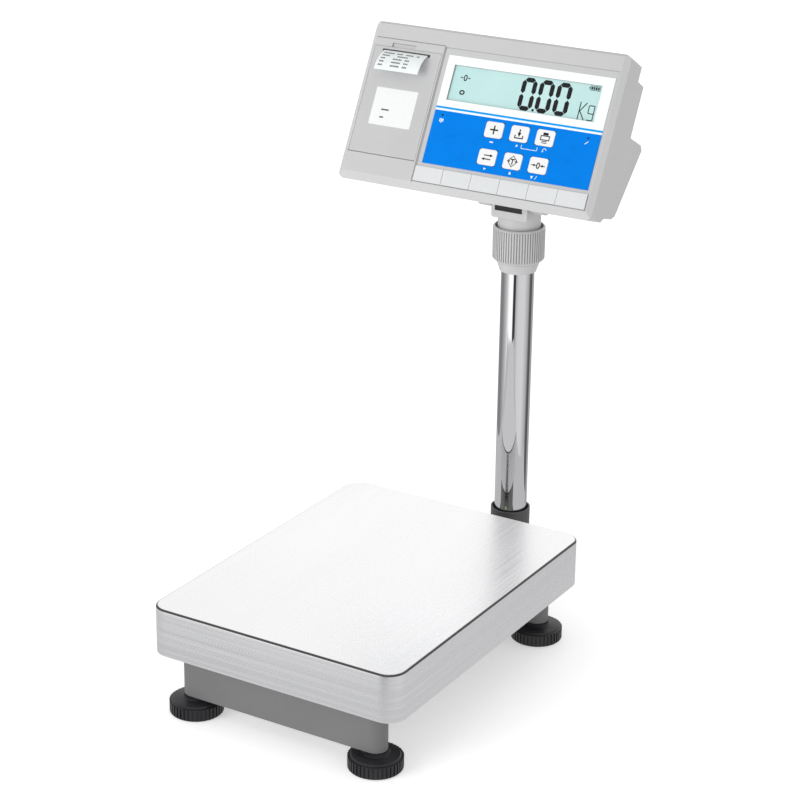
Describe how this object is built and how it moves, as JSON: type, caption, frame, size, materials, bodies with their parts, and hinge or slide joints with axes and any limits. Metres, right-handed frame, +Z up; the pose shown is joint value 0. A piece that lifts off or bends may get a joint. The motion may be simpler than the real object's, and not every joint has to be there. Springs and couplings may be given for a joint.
{
  "type": "bench scale",
  "caption": "Bench scale: stainless weighing pan on a levelling base, rear pillar with a swivelling, tilting indicator that has a display, keys and a slip printer.",
  "frame": {"origin": "on the floor, below the centre of the object's bounding box", "axes": "+Z up; -Y towards the user, who faces the display; +X to the user's right"},
  "size_m": [0.36, 0.5814, 0.633],
  "materials": {
    "grey_paint": "satin textured paint",
    "dark_casting": "satin paint",
    "zinc_steel": "zinc plated",
    "bare_aluminium": "machined",
    "cast_aluminium": "sand cast",
    "black_rubber": "matte",
    "foot_rubber": "moulded, slightly glossy",
    "stainless_pan": "brushed along its length",
    "black_plastic": "fine grain",
    "vial_green": "clear tinted",
    "black_steel": "black oxide",
    "chrome_tube": "mirror polished",
    "grey_plastic": "fine grain",
    "housing_plastic": "fine spark-eroded grain",
    "door_plastic": "fine spark-eroded grain",
    "strip_plastic": "smooth",
    "overlay_print": "printed film, white above and blue below",
    "display_glass": "clear window",
    "display_module": "pale green reflector",
    "circuit_board": "solder mask",
    "battery_wrap": "shrink wrap",
    "plated_metal": "tin plated",
    "key_plastic": "smooth",
    "paper": "uncoated thermal paper"
  },
  "bodies": {
    "base": {"base_frame": "grey_paint", "overload_stops": "zinc_steel", "load_cell": "bare_aluminium", "lower_spacer": "zinc_steel", "lower_bolts": "zinc_steel", "pillar_arm": "grey_paint", "spirit_level": "black_plastic", "level_vial": "vial_green", "pillar_socket": "dark_casting", "socket_screws": "black_steel", "socket_seal": "black_rubber", "pillar_tube": "chrome_tube", "pillar_collar": "grey_plastic"},
    "platform": {"upper_spacer": "zinc_steel", "upper_bolts": "zinc_steel", "pan_support": "cast_aluminium", "pan_pads": "black_rubber"},
    "pan": {"pan": "stainless_pan"},
    "lock_ring": {"lock_ring": "grey_plastic"},
    "head": {"swivel_post": "grey_plastic", "slot_liner": "black_rubber", "tilt_pin": "zinc_steel"},
    "indicator": {"front_housing": "housing_plastic", "rear_housing": "housing_plastic", "housing_screws": "zinc_steel", "keypad_overlay": "overlay_print", "marker_strip": "strip_plastic", "display_glass": "display_glass", "display_module": "display_module", "keypad_board": "circuit_board", "main_board": "circuit_board", "battery_pack": "battery_wrap", "load_cell_port": "black_plastic", "serial_port": "plated_metal", "power_inlet": "black_plastic", "switch_frame": "black_plastic", "door_hinge_pin": "zinc_steel", "print_head": "bare_aluminium", "printer_chassis": "zinc_steel", "roll_spindle": "black_plastic", "printer_motor": "zinc_steel"},
    "printer_door": {"printer_door": "door_plastic", "paper_strip": "paper"},
    "platen": {"platen_roller": "black_rubber"},
    "paper_roll": {"paper_roll": "paper"},
    "power_rocker": {"power_rocker": "black_plastic"},
    "stud_front_left": {"stud_front_left": "zinc_steel"},
    "foot_front_left": {"foot_front_left": "foot_rubber"},
    "stud_front_right": {"stud_front_right": "zinc_steel"},
    "foot_front_right": {"foot_front_right": "foot_rubber"},
    "stud_rear_left": {"stud_rear_left": "zinc_steel"},
    "foot_rear_left": {"foot_rear_left": "foot_rubber"},
    "stud_rear_right": {"stud_rear_right": "zinc_steel"},
    "foot_rear_right": {"foot_rear_right": "foot_rubber"},
    "key_memory_add": {"key_memory_add": "key_plastic"},
    "key_memory_recall": {"key_memory_recall": "key_plastic"},
    "key_mode": {"key_mode": "key_plastic"},
    "key_units": {"key_units": "key_plastic"},
    "key_tare": {"key_tare": "key_plastic"},
    "key_zero": {"key_zero": "key_plastic"}
  },
  "joints": [
    {"name": "weighing_deflection", "type": "slide", "parent": "base", "child": "platform", "axis": [0, 0, 1], "range_m": [-0.0005, 0], "stiffness_N_per_m": 200000, "springref_m": 0.0003, "deforming": ["load_cell"]},
    {"name": "pan_lift", "type": "slide", "parent": "platform", "child": "pan", "axis": [0, 0, 1], "range_m": [0, 0.08]},
    {"name": "height_front_left", "type": "slide", "parent": "base", "child": "stud_front_left", "axis": [0, 0, 1], "range_m": [-0.009, 0]},
    {"name": "turn_front_left", "type": "hinge", "parent": "stud_front_left", "child": "foot_front_left", "pos_m": [-0.0807, -0.26202, 0.01], "axis": [0, 0, 1], "range_deg": [-2160, 0]},
    {"name": "height_front_right", "type": "slide", "parent": "base", "child": "stud_front_right", "axis": [0, 0, 1], "range_m": [-0.009, 0]},
    {"name": "turn_front_right", "type": "hinge", "parent": "stud_front_right", "child": "foot_front_right", "pos_m": [0.1407, -0.26202, 0.01], "axis": [0, 0, 1], "range_deg": [-2160, 0]},
    {"name": "height_rear_left", "type": "slide", "parent": "base", "child": "stud_rear_left", "axis": [0, 0, 1], "range_m": [-0.009, 0]},
    {"name": "turn_rear_left", "type": "hinge", "parent": "stud_rear_left", "child": "foot_rear_left", "pos_m": [-0.0807, 0.08198, 0.01], "axis": [0, 0, 1], "range_deg": [-2160, 0]},
    {"name": "height_rear_right", "type": "slide", "parent": "base", "child": "stud_rear_right", "axis": [0, 0, 1], "range_m": [-0.009, 0]},
    {"name": "turn_rear_right", "type": "hinge", "parent": "stud_rear_right", "child": "foot_rear_right", "pos_m": [0.1407, 0.08198, 0.01], "axis": [0, 0, 1], "range_deg": [-2160, 0]},
    {"name": "lock_ring_turn", "type": "hinge", "parent": "base", "child": "lock_ring", "pos_m": [0.03, 0.21908, 0.405], "axis": [0, 0, 1], "range_deg": [0, 180]},
    {"name": "head_swivel", "type": "hinge", "parent": "base", "child": "head", "pos_m": [0.03, 0.21908, 0.44], "axis": [0, 0, 1], "range_deg": [-170, 170]},
    {"name": "indicator_tilt", "type": "hinge", "parent": "head", "child": "indicator", "pos_m": [0.03, 0.20738, 0.468], "axis": [1, 0, 0], "range_deg": [-20, 25]},
    {"name": "press_memory_add", "type": "slide", "parent": "indicator", "child": "key_memory_add", "axis": [0, 0.8878, -0.4602], "range_m": [0, 0.0005], "stiffness_N_per_m": 3000, "springref_m": -0.0003},
    {"name": "press_memory_recall", "type": "slide", "parent": "indicator", "child": "key_memory_recall", "axis": [0, 0.8878, -0.4602], "range_m": [0, 0.0005], "stiffness_N_per_m": 3000, "springref_m": -0.0003},
    {"name": "press_mode", "type": "slide", "parent": "indicator", "child": "key_mode", "axis": [0, 0.8878, -0.4602], "range_m": [0, 0.0005], "stiffness_N_per_m": 3000, "springref_m": -0.0003},
    {"name": "press_units", "type": "slide", "parent": "indicator", "child": "key_units", "axis": [0, 0.8878, -0.4602], "range_m": [0, 0.0005], "stiffness_N_per_m": 3000, "springref_m": -0.0003},
    {"name": "press_tare", "type": "slide", "parent": "indicator", "child": "key_tare", "axis": [0, 0.8878, -0.4602], "range_m": [0, 0.0005], "stiffness_N_per_m": 3000, "springref_m": -0.0003},
    {"name": "press_zero", "type": "slide", "parent": "indicator", "child": "key_zero", "axis": [0, 0.8878, -0.4602], "range_m": [0, 0.0005], "stiffness_N_per_m": 3000, "springref_m": -0.0003},
    {"name": "door_open", "type": "hinge", "parent": "indicator", "child": "printer_door", "pos_m": [-0.1289, 0.17976, 0.4973], "axis": [1, 0, 0], "range_deg": [0, 95]},
    {"name": "platen_turn", "type": "hinge", "parent": "printer_door", "child": "platen", "pos_m": [-0.1305, 0.23969, 0.59486], "axis": [1, 0, 0], "continuous": true},
    {"name": "roll_turn", "type": "hinge", "parent": "indicator", "child": "paper_roll", "pos_m": [-0.1305, 0.22984, 0.53937], "axis": [1, 0, 0], "continuous": true},
    {"name": "power_switch", "type": "hinge", "parent": "indicator", "child": "power_rocker", "pos_m": [0.1, 0.27442, 0.56582], "axis": [1, 0, 0], "range_deg": [0, 16]}
  ],
  "couplings": [
    {"joint": "height_front_left", "follows": "turn_front_left", "m_per_rad": 0.00023873},
    {"joint": "height_front_right", "follows": "turn_front_right", "m_per_rad": 0.00023873},
    {"joint": "height_rear_left", "follows": "turn_rear_left", "m_per_rad": 0.00023873},
    {"joint": "height_rear_right", "follows": "turn_rear_right", "m_per_rad": 0.00023873},
    {"joint": "platen_turn", "follows": "roll_turn", "ratio": 3.1667}
  ]
}
